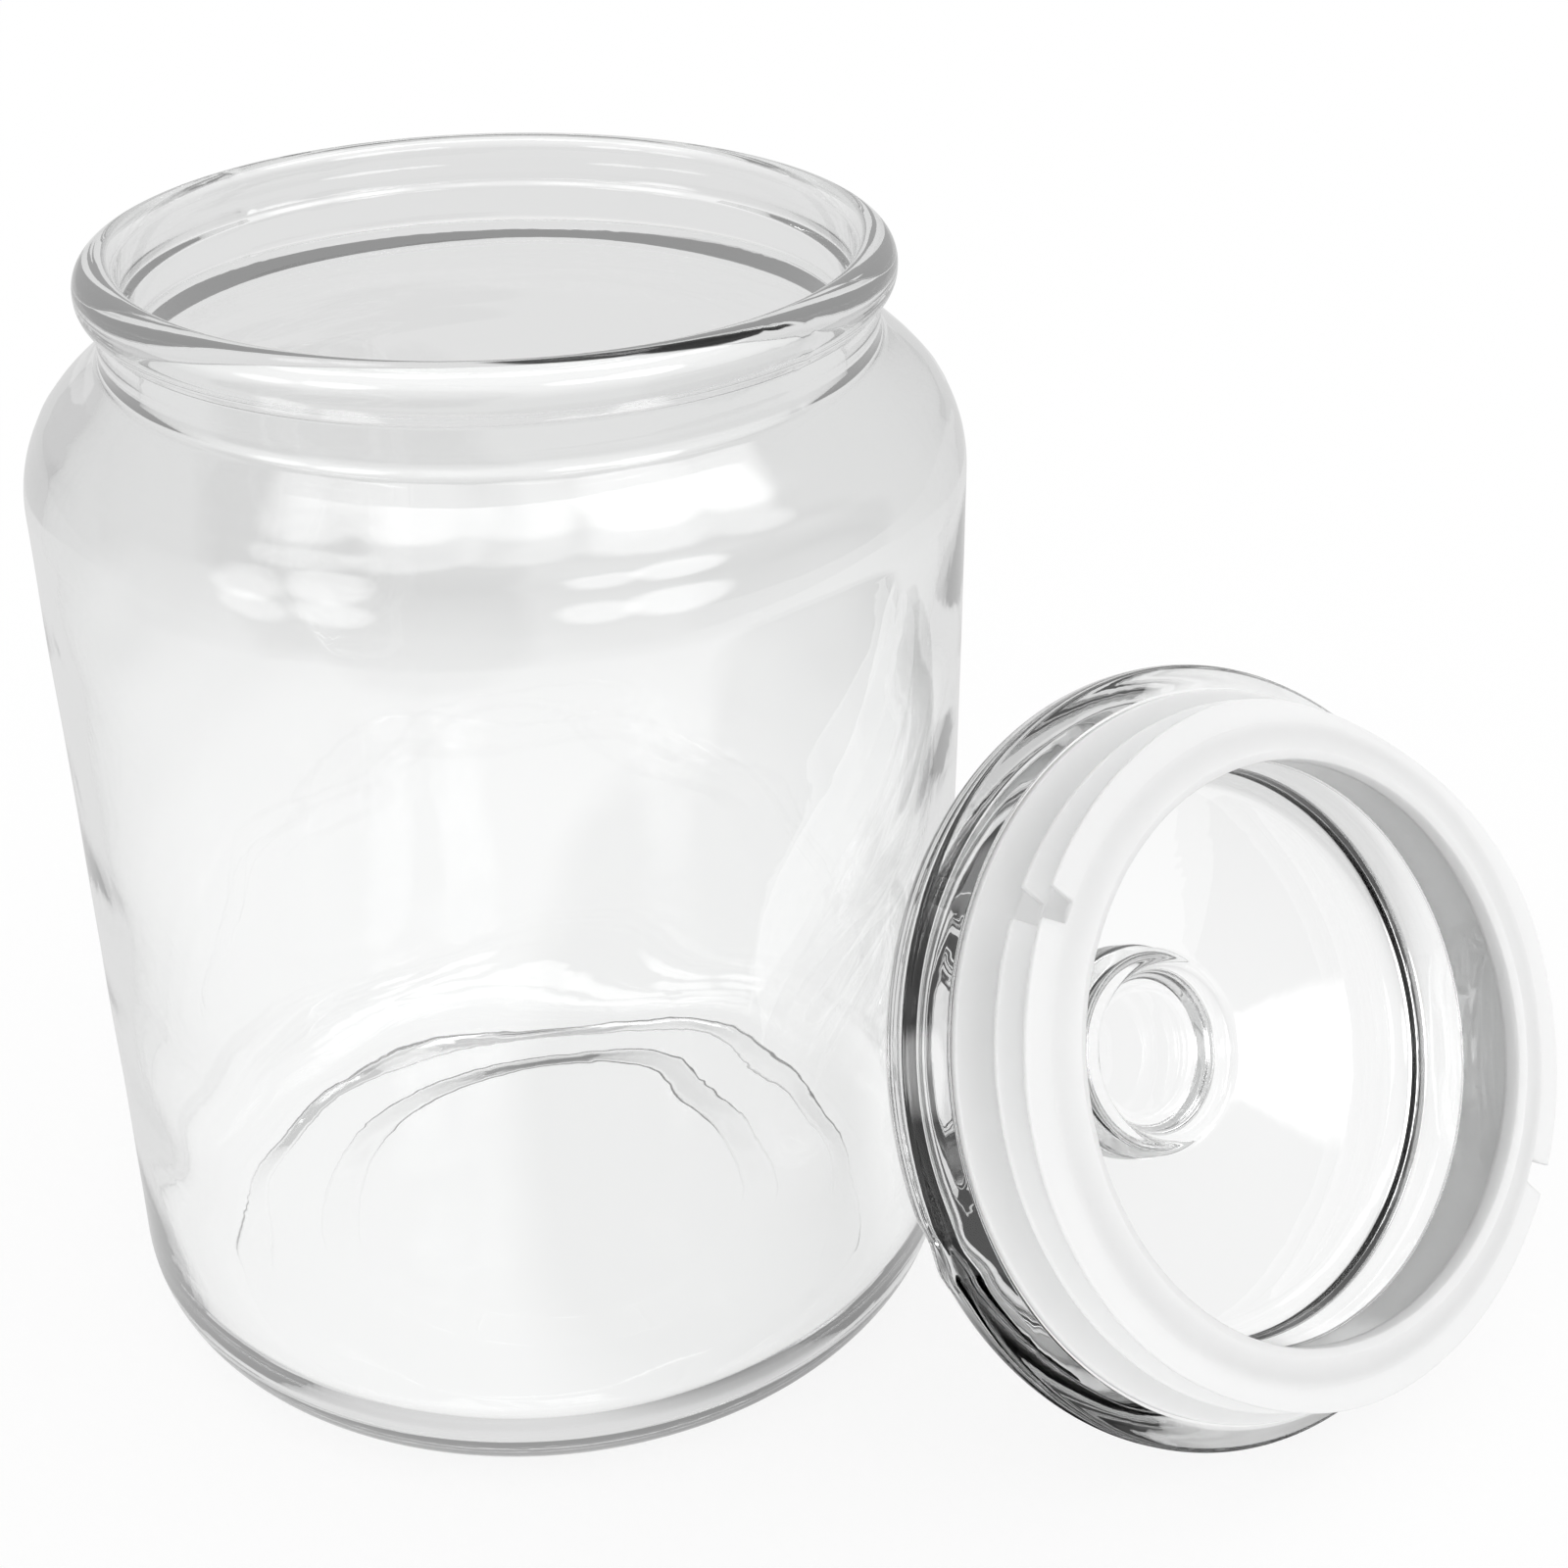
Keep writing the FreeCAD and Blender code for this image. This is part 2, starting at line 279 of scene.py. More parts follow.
def arc_points(before, here, after, radius, step):
    """Points of the arc that rounds a corner."""
    here = np.array(here, float)
    to_before = (before - here) / np.linalg.norm(before - here)
    to_after = (after - here) / np.linalg.norm(after - here)
    half = math.acos(np.clip(np.dot(to_before, to_after), -1, 1)) / 2
    start, end = here + to_before * radius / math.tan(half), here + to_after * radius / math.tan(half)
    bisector = (to_before + to_after) / np.linalg.norm(to_before + to_after)
    centre = here + bisector * radius / math.sin(half)
    first = math.atan2(*(start - centre)[::-1])
    sweep = math.remainder(math.atan2(*(end - centre)[::-1]) - first, 2 * math.pi)
    count = max(LEAST_ARC_PIECES, round(abs(sweep) * radius / step))
    angles = first + sweep * np.linspace(0, 1, count + 1)
    return centre + radius * np.stack([np.cos(angles), np.sin(angles)], 1)


def straight(start, end, step):
    """Points between two others, no further apart than a step."""
    count = math.ceil(np.linalg.norm(end - start) / step)
    return [start + (end - start) * k / count for k in range(1, count)]


def outline(corners, step, closed=False):
    """Points along corners given as (radius, height, round), no further apart than a step."""
    spots = [np.array(c[:2], float) for c in corners]
    path = []
    for i, (here, (_, _, corner_round)) in enumerate(zip(spots, corners)):
        arc_step = max(corner_round * ARC_FINENESS, FINEST_STEP)
        bend = arc_points(
            spots[i - 1], here, spots[(i + 1) % len(spots)], corner_round, arc_step
        ) if corner_round else [here]
        if path:
            path.extend(straight(path[-1], bend[0], step))
        path.extend(bend)
    if closed:
        path.extend(straight(path[-1], path[0], step))
    return np.array(path)


def jar_corners():
    slope = math.tan(math.radians(SHOULDER_SLOPE))
    top_radius = BODY_RADIUS - BODY_TAPER
    neck_foot = JAR_HEIGHT - NECK_LENGTH
    bead_foot = JAR_HEIGHT - RIM_BEAD_HEIGHT
    foot = BODY_RADIUS - HEEL_RADIUS - FOOT_RING_WIDTH
    lead_in = MOUTH_RADIUS + MOUTH_LEAD_IN
    ledge = JAR_HEIGHT - MOUTH_LEDGE_DEPTH
    bore_foot = JAR_HEIGHT - BORE_DEPTH
    wall = top_radius - BODY_WALL
    return [
        (0, FOOT_RING_DEPTH + PUNT_DEPTH, 0),
        (PUNT_RADIUS, FOOT_RING_DEPTH + PUNT_DEPTH, GLASS_EDGE),
        (PUNT_RADIUS + PUNT_STEP_WIDTH, FOOT_RING_DEPTH, GLASS_EDGE),
        (foot - FOOT_RING_DEPTH, FOOT_RING_DEPTH, GLASS_EDGE),
        (foot, 0, GLASS_EDGE),
        (BODY_RADIUS, 0, HEEL_RADIUS),
        (top_radius, neck_foot - (top_radius - NECK_RADIUS) * slope, SHOULDER_RADIUS),
        (NECK_RADIUS, neck_foot, NECK_ROUND),
        (NECK_RADIUS, bead_foot, GLASS_EDGE),
        (RIM_RADIUS, bead_foot + RIM_BEAD_OVERHANG, RIM_BEAD_ROUND),
        (RIM_RADIUS, JAR_HEIGHT, RIM_BEAD_ROUND),
        (lead_in, JAR_HEIGHT, RIM_INNER_ROUND),
        (lead_in, ledge, GLASS_EDGE),
        (MOUTH_RADIUS, ledge - MOUTH_LEAD_IN, GLASS_EDGE),
        (MOUTH_RADIUS, bore_foot, BORE_ROUND),
        (wall, bore_foot - (wall - MOUTH_RADIUS) * slope, SHOULDER_RADIUS - BODY_WALL),
        (BODY_RADIUS - BODY_WALL, FLOOR_THICKNESS, INNER_HEEL_RADIUS),
        (0, FLOOR_THICKNESS, 0),
    ]


def lid_corners():
    peak = CEILING_HEIGHT + DOME_RISE
    crown = peak + DOME_WALL
    knob_top = crown + KNOB_HEIGHT
    return [
        (0, peak + HOLLOW_DEPTH, 0),
        (HOLLOW_RADIUS - HOLLOW_TAPER, peak + HOLLOW_DEPTH, HOLLOW_ROUND),
        (HOLLOW_RADIUS, peak, HOLLOW_EDGE_ROUND),
        (COLLAR_BORE, CEILING_HEIGHT, CEILING_ROUND),
        (COLLAR_BORE, -COLLAR_LENGTH, GLASS_EDGE),
        (COLLAR_RADIUS, -COLLAR_LENGTH, GLASS_EDGE),
        (COLLAR_RADIUS, 0, GLASS_EDGE),
        (SEAT_RADIUS, 0, GLASS_EDGE),
        (BRIM_RADIUS, BRIM_WIDEST, BRIM_LOWER_ROUND),
        (BRIM_RADIUS, BRIM_THICKNESS, BRIM_TOP_ROUND),
        (BRIM_RADIUS - DOME_SHOULDER_INSET, BRIM_THICKNESS + DOME_SHOULDER_RISE, DOME_SHOULDER_ROUND),
        (KNOB_NECK_RADIUS, crown, KNOB_NECK_ROUND),
        (KNOB_RADIUS, crown + KNOB_FLARE, KNOB_FLARE_ROUND),
        (KNOB_RADIUS, knob_top - KNOB_TOP_CROWN, KNOB_TOP_ROUND),
        (0, knob_top, 0),
    ]


def fin_corners(root):
    return [
        (SLEEVE_RADIUS, root + FIN_ROOT / 2, GASKET_EDGE),
        (FIN_RADIUS, root + FIN_TIP / 2, GASKET_EDGE),
        (FIN_RADIUS, root - FIN_TIP / 2, GASKET_EDGE),
        (SLEEVE_RADIUS, root - FIN_ROOT / 2, GASKET_EDGE),
    ]


def gasket_corners():
    flange = SEAT_RADIUS - FLANGE_INSET
    skirt = COLLAR_BORE - SLEEVE_CLEARANCE
    end = -COLLAR_LENGTH - SLEEVE_CLEARANCE
    lip_end = end - FIN_ROOT / 2 - LIP_DROP
    return [
        (GASKET_BORE, 0, GLASS_EDGE),
        (flange, 0, 0),
        (flange, -FLANGE_THICKNESS, GASKET_EDGE),
        (SLEEVE_RADIUS, -FLANGE_THICKNESS, GASKET_EDGE),
        *fin_corners(end + FIN_PITCH),
        *fin_corners(end),
        (COLLAR_BORE, lip_end, GASKET_EDGE),
        (skirt - SLEEVE_WALL, lip_end + LIP_DROP / 2, GASKET_EDGE),
        (skirt - SLEEVE_WALL, end + LIP_SKIRT, 0),
        (skirt, end + LIP_SKIRT, 0),
        (skirt, end, 0),
        (GASKET_BORE, end, 0),
    ]


def raised(path, relief):
    """Radius and height of every point of a lathed surface that stands out by the relief."""
    ahead = np.diff(path, axis=0, append=path[-1:])
    ahead[-1] = path[-1] - path[-2]
    behind = np.diff(path, axis=0, prepend=path[:1])
    behind[0] = path[1] - path[0]
    along = ahead / np.linalg.norm(ahead, axis=1)[:, None] + behind / np.linalg.norm(behind, axis=1)[:, None]
    along /= np.linalg.norm(along, axis=1)[:, None]
    return path[:, :1] + along[:, 1:] * relief, path[:, 1:] - along[:, :1] * relief


def lathe(name, radius, height, angles):
    """A closed mesh from radius and height by outline point and angle, with the solid on its left.

    An outline that starts on the axis ends there too, and any other joins up as a ring.
    """
    capped = radius[0].max() < AXIS_REACH
    spots = np.stack([radius * np.cos(angles), radius * np.sin(angles), height], -1)
    turns = len(angles)
    if capped:
        ends = [spots[0].mean(0), spots[-1].mean(0)]
        spots = spots[1:-1]
    index = np.arange(spots.shape[0] * turns).reshape(-1, turns)
    beside = np.roll(index, -1, 1)
    if capped:
        low, low_beside, high, high_beside = index[:-1], beside[:-1], index[1:], beside[1:]
    else:
        low, low_beside, high, high_beside = index, beside, np.roll(index, -1, 0), np.roll(beside, -1, 0)
    faces = np.stack([low, low_beside, high_beside, high], -1).reshape(-1, 4).tolist()
    spots = spots.reshape(-1, 3)
    if capped:
        first, last = len(spots), len(spots) + 1
        spots = np.vstack([spots, ends])
        faces += [[first, index[0][(k + 1) % turns], index[0][k]] for k in range(turns)]
        faces += [[last, index[-1][k], index[-1][(k + 1) % turns]] for k in range(turns)]
    mesh = bpy.data.meshes.new(name)
    mesh.from_pydata((spots * MM).tolist(), [], faces)
    mesh.polygons.foreach_set("use_smooth", [True] * len(faces))
    mesh.update()
    piece = bpy.data.objects.new(name, mesh)
    bpy.context.scene.collection.objects.link(piece)
    return piece


# --- Relief ---------------------------------------------------------------------------------------


def ease(value, start, end):
    """0 before start, 1 after end, and smooth between them."""
    share = np.clip((value - start) / (end - start), 0, 1)
    return share * share * (3 - 2 * share)


def hump(value, middle, width):
    """A smooth ridge, 1 at its middle."""
    return np.exp(-((value - middle) / width) ** 2)


def apart(angles, degrees):
    """How far each angle is from another, the short way round, in degrees."""
    return np.degrees(np.angle(np.exp(1j * (angles - math.radians(degrees)))))


def ripple(along, angles, seed, most_turns, shortest):
    """Uneven swells of about unit size, from waves that run round and along an outline.

    The shortest wave's length is given, and the longest is SWELL_LONGEST times it.
    """
    random = np.random.default_rng(seed)
    total = np.zeros((len(along), len(angles)))
    for _ in range(SWELL_WAVES):
        turns = random.integers(1, most_turns + 1)
        pace = 2 * math.pi / (shortest * random.uniform(1, SWELL_LONGEST)) * random.choice([-1, 1])
        phase = random.uniform(0, 2 * math.pi)
        total += np.sin(turns * angles + pace * along[:, None] + phase)
    return total / math.sqrt(SWELL_WAVES)


def lengths(path):
    """How far along the outline each of its points is."""
    return np.concatenate([[0], np.cumsum(np.linalg.norm(np.diff(path, axis=0), axis=1))])


def jar_relief(path, angles):
    along = lengths(path)
    height = path[:, 1]
    is_outer = np.arange(len(path)) < height.argmax()
    neck_foot = JAR_HEIGHT - NECK_LENGTH
    above_heel = ease(height, HEEL_RADIUS / 2, 2 * HEEL_RADIUS)
    body = above_heel * (1 - ease(height, neck_foot - BODY_SWELL_FADE, neck_foot))
    low = 1 - ease(height, FLOOR_THICKNESS + FLOOR_SWELL_RISE, 3 * FLOOR_THICKNESS)
    bottom = low * ease(path[:, 0], *FLOOR_SWELL_RADII)
    outer = ripple(along, angles, seed=11, most_turns=8, shortest=26) - SWELL_SINK
    inner = ripple(along, angles, seed=12, most_turns=7, shortest=24)
    relief = (body * is_outer)[:, None] * outer * OUTER_SWELL
    relief += ((body + bottom * FLOOR_SWELL_SHARE) * ~is_outer)[:, None] * inner * INNER_SWELL
    ragged = ripple(np.zeros(1), angles, seed=13, most_turns=24, shortest=1)[0]
    wander = PARTING_WANDER * np.sin(2 * angles + PARTING_PHASE) + PARTING_RAGGEDNESS * ragged
    on_body = is_outer[:, None] * hump(height[:, None], PARTING_HEIGHT + wander, PARTING_WIDTH)
    on_neck = is_outer & (height > neck_foot)
    rings = sum(hump(height, ring, NECK_RING_WIDTH) for ring in NECK_RINGS)
    seams = sum(hump(apart(angles, seam), 0, SEAM_WIDTH) for seam in MOULD_SEAMS)
    below_top = 1 - ease(height, JAR_HEIGHT - SEAM_FADE_START, JAR_HEIGHT - SEAM_FADE_END)
    relief += PARTING_RIDGE * on_body
    relief += (on_neck * rings)[:, None] * NECK_RING_RIDGE
    relief += np.outer(on_neck * below_top, seams) * SEAM_RIDGE
    return relief


def drawn_out(radius, inner, outer, inner_reach, outer_reach):
    """-1 at a step's inner edge and 1 at its outer edge, fading away from both."""
    return np.interp(radius, [inner - inner_reach, inner, outer, outer + outer_reach], [0, -1, 1, 0])


def worn_foot(path, angles, radius):
    """The jar's radius with the steps of its foot ring and punt drawn out, the ring's most in its gaps."""
    is_outer = np.arange(len(path)) < path[:, 1].argmax()
    is_under = is_outer & (path[:, 1] < PUNT_DEPTH + FOOT_RING_DEPTH + UNDERSIDE_MARGIN)
    foot = BODY_RADIUS - HEEL_RADIUS - FOOT_RING_WIDTH
    soft = sum(hump(apart(angles, middle), 0, half) for middle, half in FOOT_GAPS).clip(0, 1)
    ring = drawn_out(path[:, 0], foot - FOOT_RING_DEPTH, foot, FOOT_INNER_REACH, FOOT_OUTER_REACH)
    punt = drawn_out(path[:, 0], PUNT_RADIUS, PUNT_RADIUS + PUNT_STEP_WIDTH, PUNT_REACH, PUNT_REACH)
    wear = FOOT_WEAR + (GAP_WEAR - FOOT_WEAR) * soft
    return radius + np.outer(ring * is_under, wear) + PUNT_WEAR * (punt * is_under)[:, None]


def lid_relief(path, angles):
    swell = ripple(lengths(path), angles, seed=21, most_turns=4, shortest=30) - SWELL_SINK
    relief = ease(path[:, :1], *LID_SWELL_RADII) * swell * LID_SWELL
    swelling = hump(apart(angles, KINK_ANGLE - KINK_SWELLING_TURN), 0, KINK_SWELLING_WIDTH)
    kink = hump(apart(angles, KINK_ANGLE), 0, KINK_WIDTH) - KINK_SWELLING * swelling
    on_edge = ease(path[:, 0], BRIM_RADIUS - KINK_INNER_REACH, BRIM_RADIUS - KINK_OUTER_REACH)
    return relief - np.outer(on_edge, KINK_DEPTH * (kink + KINK_SWELLING))


def bent_fins(path, angles):
    """The gasket's radius and height, with its fins notched and the outer one's edge uneven."""
    is_fin = path[:, 1] < -FIN_PITCH / 2
    fin_width = FIN_RADIUS - SLEEVE_RADIUS
    share = np.where(is_fin, np.clip((path[:, 0] - SLEEVE_RADIUS) / fin_width, 0, 1), 0)
    outer_share = share * (path[:, 1] < -COLLAR_LENGTH + FIN_PITCH / 2)
    notch = sum(
        1 - ease(np.abs(apart(angles, NOTCH_ANGLE + turn)), NOTCH_HALF, NOTCH_HALF + NOTCH_SOFTNESS)
        for turn in (0, 180)
    )
    bent = sum(depth * hump(apart(angles, middle), 0, half) for depth, middle, half in FIN_BENDS)
    ragged = ripple(np.zeros(1), angles, seed=31, most_turns=9, shortest=1)[0]
    bent += FIN_RAGGEDNESS * (ragged + FIN_RAGGED_OFFSET).clip(0)
    depth = np.outer(share, notch) * (fin_width - NOTCH_STUB)
    depth += np.outer(outer_share, bent * (1 - notch.clip(0, 1)))
    droop = np.outer(outer_share ** 2, FIN_DROOP * bent)
    return path[:, :1] - depth, path[:, 1:] + droop


# --- Nodes ----------------------------------------------------------------------------------------


def feed(links, socket, value):
    """Sets a socket to a number, or joins it to the output of another node."""
    if isinstance(value, (int, float)):
        socket.default_value = value
    else:
        links.new(value, socket)


def number(nodes, links, operation, *values):
    """A math node of these values or sockets, and its output."""
    node = nodes.new("ShaderNodeMath")
    node.operation = operation
    for socket, value in zip(node.inputs, values):
        feed(links, socket, value)
    return node.outputs[0]


def blend(nodes, links, share, first, second):
    node = nodes.new("ShaderNodeMix")
    feed(links, node.inputs["Factor"], share)
    feed(links, node.inputs["A"], first)
    feed(links, node.inputs["B"], second)
    return node.outputs["Result"]


def mixed(nodes, links, share, first, second):
    """Two shaders in one."""
    node = nodes.new("ShaderNodeMixShader")
    for socket, value in zip(node.inputs, (share, first, second)):
        feed(links, socket, value)
    return node.outputs[0]


def glow(nodes, links, level):
    node = nodes.new("ShaderNodeEmission")
    feed(links, node.inputs["Strength"], level)
    return node.outputs[0]


def scaled(nodes, links, value, from_ends, to_ends):
    """A value moved from one range to another."""
    node = nodes.new("ShaderNodeMapRange")
    node.inputs["From Min"].default_value, node.inputs["From Max"].default_value = from_ends
    node.inputs["To Min"].default_value, node.inputs["To Max"].default_value = to_ends
    links.new(value, node.inputs["Value"])
    return node.outputs["Result"]


def soft_step(nodes, links, value, start, end):
    """0 before start, 1 after end."""
    node = nodes.new("ShaderNodeMapRange")
    node.interpolation_type = "SMOOTHSTEP"
    node.inputs["From Min"].default_value = start
    node.inputs["From Max"].default_value = end
    links.new(value, node.inputs["Value"])
    return node.outputs["Result"]


def distance(nodes, links, place, middle):
    node = nodes.new("ShaderNodeVectorMath")
    node.operation = "DISTANCE"
    node.inputs[1].default_value = middle
    links.new(place, node.inputs[0])
    return node.outputs["Value"]


def noise(nodes, links, settings):
    """Noise in the piece's own coordinates."""
    node = nodes.new("ShaderNodeTexNoise")
    for name, value in settings.items():
        node.inputs[name].default_value = value
    links.new(nodes.new("ShaderNodeTexCoord").outputs["Object"], node.inputs["Vector"])
    return node.outputs["Fac"]


def tinted(nodes, links, value, ends):
    """The colour between two at a value."""
    node = nodes.new("ShaderNodeValToRGB")
    for element, colour in zip(node.color_ramp.elements, ends):
        element.color = colour
    links.new(value, node.inputs["Fac"])
    return node.outputs["Color"]


def bumped(nodes, links, height, strength):
    node = nodes.new("ShaderNodeBump")
    node.inputs["Strength"].default_value = strength
    node.inputs["Distance"].default_value = BUMP_HEIGHT * MM
    links.new(height, node.inputs["Height"])
    return node.outputs["Normal"]


def has_bounced(nodes, links, kind, least=1):
    """1 for a ray with at least so many bounces of one kind behind it."""
    count = nodes.new("ShaderNodeLightPath").outputs[kind]
    return number(nodes, links, "GREATER_THAN", count, least - 0.5)


# --- Materials ------------------------------------------------------------------------------------


def new_material(name):
    material = bpy.data.materials.new(name)
    material.use_nodes = True
    nodes = material.node_tree.nodes
    return material, nodes, material.node_tree.links, nodes["Principled BSDF"]


def glass(name, trapped_level):
    """Clear glass with faint swirls in its surface and a breath of haze where it has been handled.

    Light caught in its thick edges would end as black at the last bounce, so it glows at that bounce
    only, in place of the light that more bounces would bring out.
    """
    material, nodes, links, shader = new_material(name)
    shader.inputs["IOR"].default_value = GLASS_IOR
    shader.inputs["Transmission Weight"].default_value = 1.0
    shader.inputs["Emission Color"].default_value = WHITE
    haze = noise(nodes, links, HAZE)
    roughness = scaled(nodes, links, haze, (HAZE_FROM, HAZE_TO), GLASS_ROUGHNESS)
    links.new(roughness, shader.inputs["Roughness"])
    links.new(tinted(nodes, links, haze, GLASS_TINTS), shader.inputs["Base Color"])
    swirl = noise(nodes, links, SWIRL)
    links.new(bumped(nodes, links, swirl, SWIRL_STRENGTH), shader.inputs["Normal"])
    is_last = has_bounced(nodes, links, "Ray Depth", MOST_BOUNCES)
    links.new(number(nodes, links, "MULTIPLY", is_last, trapped_level), shader.inputs["Emission Strength"])
    material.cycles.emission_sampling = "NONE"
    return material


def soft_plastic(name):
    """Milky, satin plastic that lets some light spread inside it."""
    material, nodes, links, shader = new_material(name)
    shader.inputs["IOR"].default_value = PLASTIC_IOR
    shader.inputs["Subsurface Weight"].default_value = SUBSURFACE_WEIGHT
    shader.inputs["Subsurface Radius"].default_value = (1.0, 1.0, 1.0)
    shader.inputs["Subsurface Scale"].default_value = SUBSURFACE_DEPTH * MM
    cloud = noise(nodes, links, PLASTIC_CLOUD)
    links.new(tinted(nodes, links, cloud, PLASTIC_TINTS), shader.inputs["Base Color"])
    links.new(scaled(nodes, links, cloud, (0, 1), PLASTIC_ROUGHNESS), shader.inputs["Roughness"])
    grain = noise(nodes, links, PLASTIC_GRAIN)
    links.new(bumped(nodes, links, grain, GRAIN_STRENGTH), shader.inputs["Normal"])
    return material


# --- Pieces ---------------------------------------------------------------------------------------


def lid_turn():
    """The lid's axes: level to the left of its open side, up its face, and to its knob."""
    level = Vector((-math.cos(LID_FACING), -math.sin(LID_FACING), 0))
    to_knob = Vector((
        -math.cos(LID_LEAN) * math.sin(LID_FACING),
        math.cos(LID_LEAN) * math.cos(LID_FACING),
        -math.sin(LID_LEAN),
    ))
    return Matrix((level, to_knob.cross(level), to_knob)).transposed()


def lid_shift(turn, path):
    """Takes the turned lid, whose outline this is, to the middle of its CAD solid's box."""
    low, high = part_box("lid")
    slant = turn.col[2]
    middle = []
    for share in slant:
        level = math.sqrt(1 - share * share)
        along, across = path[:, 1] * share, path[:, 0] * level
        middle.append(((along + across).max() + (along - across).min()) / 2 * MM)
    return Matrix.Translation((low + high) / 2 - Vector(middle))


def finish_piece(piece, node, material):
    piece.data.materials.append(material)
    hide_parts(node)
    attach(piece, "root")


def around(turns):
    return np.linspace(0, 2 * math.pi, turns, endpoint=False)


def make_pieces():
    jar_path = outline(jar_corners(), WALL_STEP)
    lid_path = outline(lid_corners(), LID_STEP)
    gasket_path = outline(gasket_corners(), GASKET_STEP, closed=True)[::-1]
    jar_angles, lid_angles, gasket_angles = around(JAR_TURNS), around(LID_TURNS), around(GASKET_TURNS)
    jar_radius, jar_height = raised(jar_path, jar_relief(jar_path, jar_angles))
    jar = lathe("jar_shell", worn_foot(jar_path, jar_angles, jar_radius), jar_height, jar_angles)
    lid = lathe("lid_shell", *raised(lid_path, lid_relief(lid_path, lid_angles)), lid_angles)
    gasket = lathe("gasket_ring", *bent_fins(gasket_path, gasket_angles), gasket_angles)
    turn = lid_turn()
    place = lid_shift(turn, lid_path) @ turn.to_4x4()
    for piece in (lid, gasket):
        piece.data.transform(place)
    finish_piece(jar, "jar", glass("jar_glass_look", JAR_TRAPPED_LEVEL))
    finish_piece(lid, "lid", glass("lid_glass_look", LID_TRAPPED_LEVEL))
    finish_piece(gasket, "gasket", soft_plastic("gasket_look"))


# --- Stage ----------------------------------------------------------------------------------------


def make_camera():
    forward = Vector((
        math.sin(CAMERA_YAW) * math.cos(CAMERA_PITCH),
        math.cos(CAMERA_YAW) * math.cos(CAMERA_PITCH),
        -math.sin(CAMERA_PITCH),
    ))
    right = Vector((math.cos(CAMERA_YAW), -math.sin(CAMERA_YAW), 0))
    up = right.cross(forward)
    rolled_right = right * math.cos(CAMERA_ROLL) + up * math.sin(CAMERA_ROLL)
    rolled_up = up * math.cos(CAMERA_ROLL) - right * math.sin(CAMERA_ROLL)
    data = bpy.data.cameras.new("camera")
    data.lens = CAMERA_LENS
    data.sensor_width = CAMERA_SENSOR
    data.clip_start = CAMERA_NEAR
    camera = bpy.data.objects.new("camera", data)
    turn = Matrix((rolled_right, rolled_up, -forward)).transposed().to_4x4()
    camera.matrix_world = Matrix.Translation(CAMERA_PLACE) @ turn
    bpy.context.scene.collection.objects.link(camera)
    bpy.context.scene.camera = camera


def spot_share(nodes, links, place, middle, reach, edge):
    """1 in a round spot of the sky, 0 outside it."""
    toward = nodes.new("ShaderNodeVectorMath")
    toward.operation = "DOT_PRODUCT"
    toward.inputs[1].default_value = Vector(middle).normalized()
    links.new(place, toward.inputs[0])
    inner, outer = math.cos(math.radians(reach)), math.cos(math.radians(reach + edge))
    return soft_step(nodes, links, toward.outputs["Value"], outer, inner)


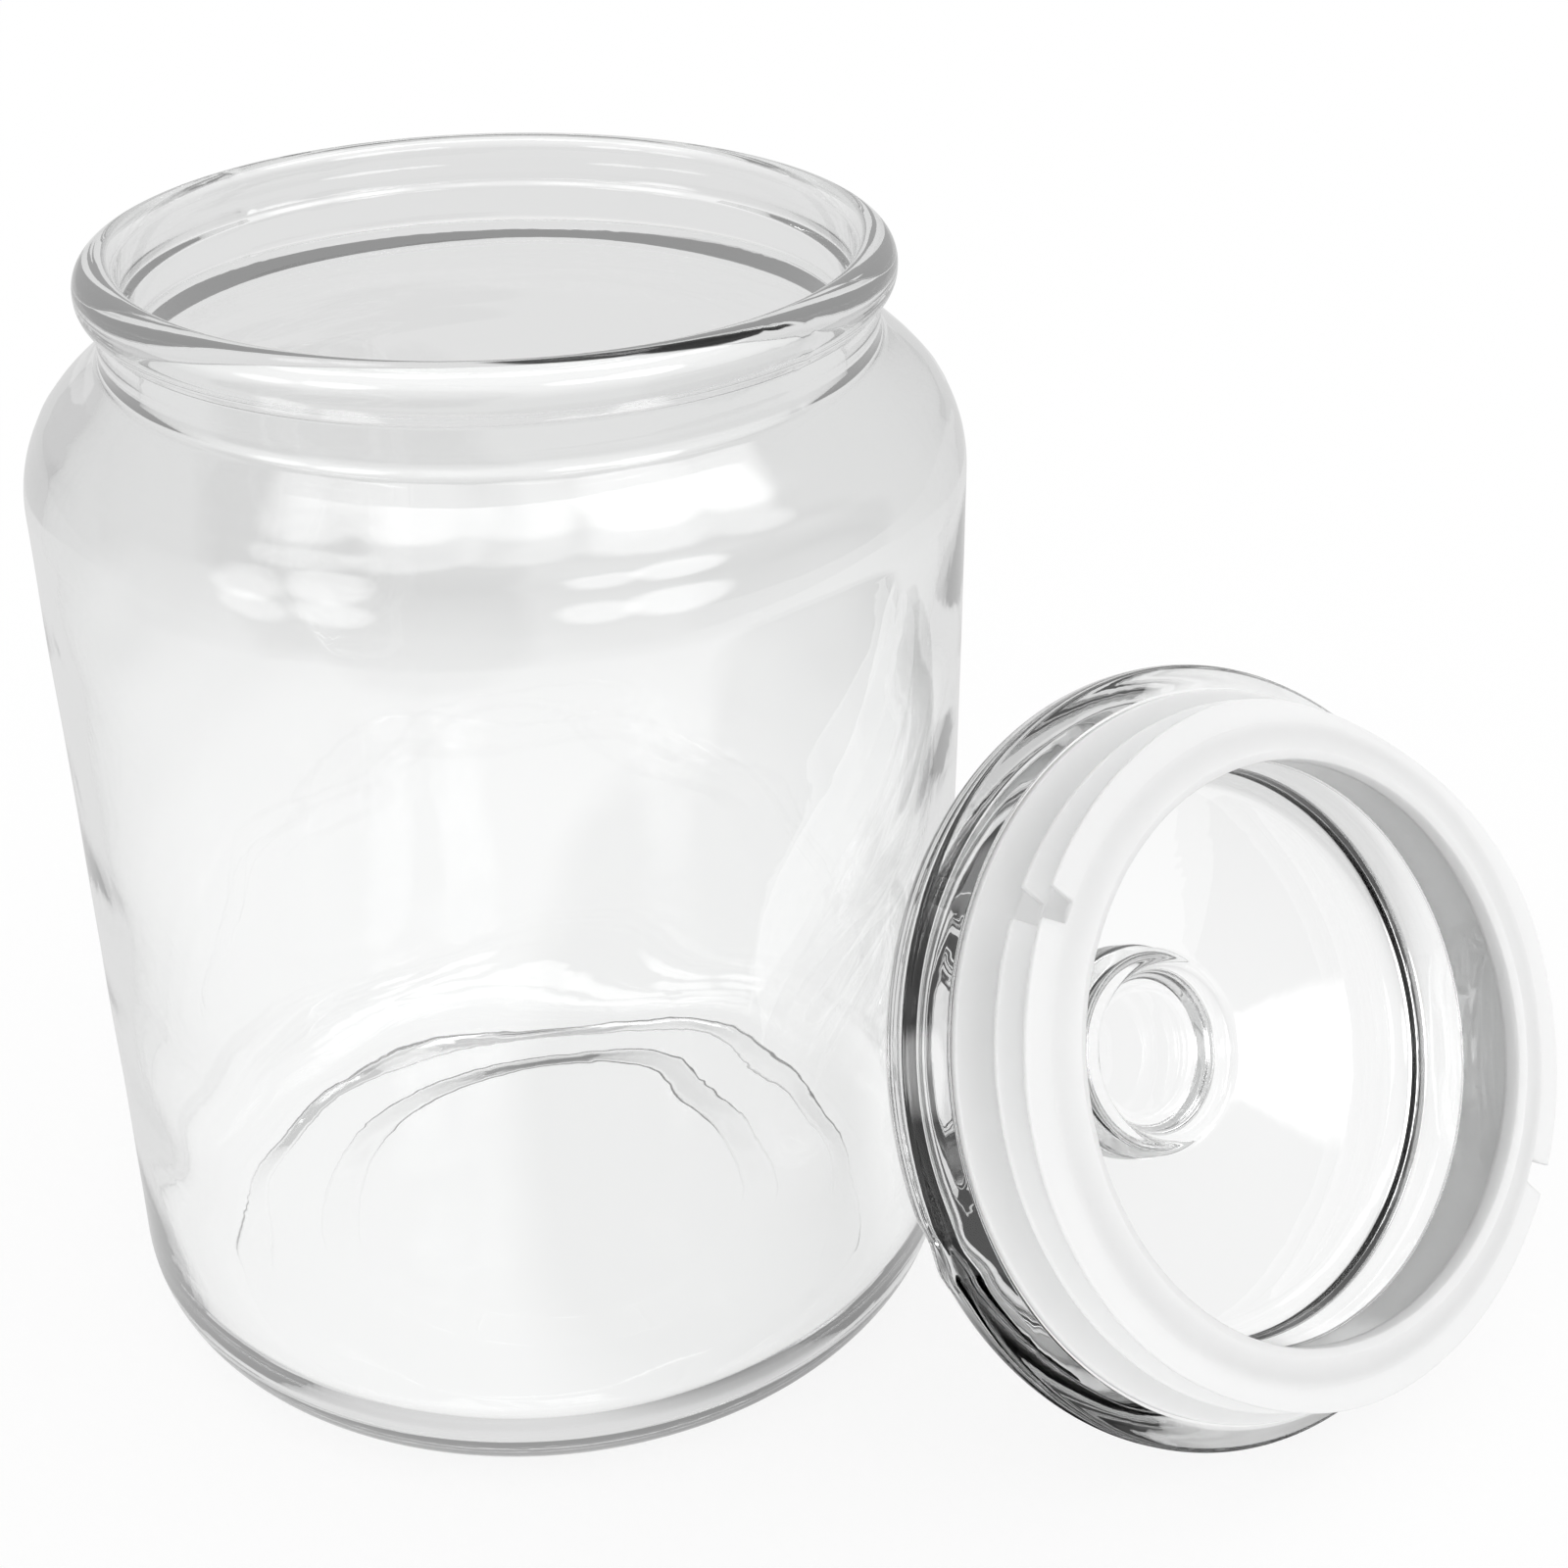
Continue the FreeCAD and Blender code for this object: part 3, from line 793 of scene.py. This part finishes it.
def make_world():
    """White for what it lights, pale grey through the glass, and a room in what the glass reflects."""
    world = bpy.data.worlds.new("studio")
    bpy.context.scene.world = world
    world.use_nodes = True
    nodes, links = world.node_tree.nodes, world.node_tree.links
    place = nodes.new("ShaderNodeTexCoord").outputs["Generated"]
    flagged = spot_share(nodes, links, place, *FLAG)
    room = blend(nodes, links, flagged, ROOM_LEVEL, 0.0)
    for middle, reach, edge, level in SOFTBOXES:
        share = spot_share(nodes, links, place, middle, reach, edge)
        room = number(nodes, links, "MULTIPLY_ADD", share, level, room)
    path = nodes.new("ShaderNodeLightPath")
    straight_on = blend(nodes, links, path.outputs["Is Transmission Ray"], 1.0, BACKDROP_LEVEL)
    shown = blend(nodes, links, has_bounced(nodes, links, "Glossy Depth"), straight_on, room)
    level = blend(nodes, links, has_bounced(nodes, links, "Diffuse Depth"), shown, 1.0)
    links.new(level, nodes["Background"].inputs["Strength"])
    nodes["Background"].inputs["Color"].default_value = WHITE
    world.cycles.sampling_method = "NONE"


def make_floor():
    """White paper that glows and keeps the shadow, with dark cards on it that only reflections show."""
    bpy.ops.mesh.primitive_circle_add(
        vertices=FLOOR_SIDES, radius=FLOOR_RADIUS, fill_type="NGON", location=(0, 0, 0)
    )
    floor = bpy.context.object
    floor.name = "floor"
    material, nodes, links, paper = new_material("floor_look")
    paper.inputs["Base Color"].default_value = WHITE
    paper.inputs["Roughness"].default_value = 1.0
    paper.inputs["Specular IOR Level"].default_value = 0.0
    seen = mixed(nodes, links, FLOOR_GLOW, paper.outputs[0], glow(nodes, links, 1.0))
    place = nodes.new("ShaderNodeNewGeometry").outputs["Position"]
    away = soft_step(nodes, links, distance(nodes, links, place, (0, 0, 0)), BACKDROP_NEAR, BACKDROP_FAR)
    through = glow(nodes, links, blend(nodes, links, away, 1.0, BACKDROP_LEVEL))
    level = FLOOR_IN_REFLECTIONS
    for middle, radius in CARDS:
        clear = soft_step(nodes, links, distance(nodes, links, place, middle), radius, radius + CARD_EDGE)
        level = number(nodes, links, "MULTIPLY", clear, level)
    path = nodes.new("ShaderNodeLightPath")
    straight_on = mixed(nodes, links, path.outputs["Is Transmission Ray"], seen, through)
    reflected = glow(nodes, links, level)
    shown = mixed(nodes, links, has_bounced(nodes, links, "Glossy Depth"), straight_on, reflected)
    whole = mixed(nodes, links, has_bounced(nodes, links, "Diffuse Depth"), shown, seen)
    links.new(whole, nodes["Material Output"].inputs["Surface"])
    material.cycles.emission_sampling = "NONE"
    floor.data.materials.append(material)


make_camera()
make_pieces()
make_world()
make_floor()
bpy.context.scene.view_settings.view_transform = "Standard"
bpy.context.scene.cycles.max_bounces = MOST_BOUNCES
bpy.context.scene.cycles.glossy_bounces = MOST_BOUNCES
bpy.context.scene.cycles.transmission_bounces = MOST_BOUNCES
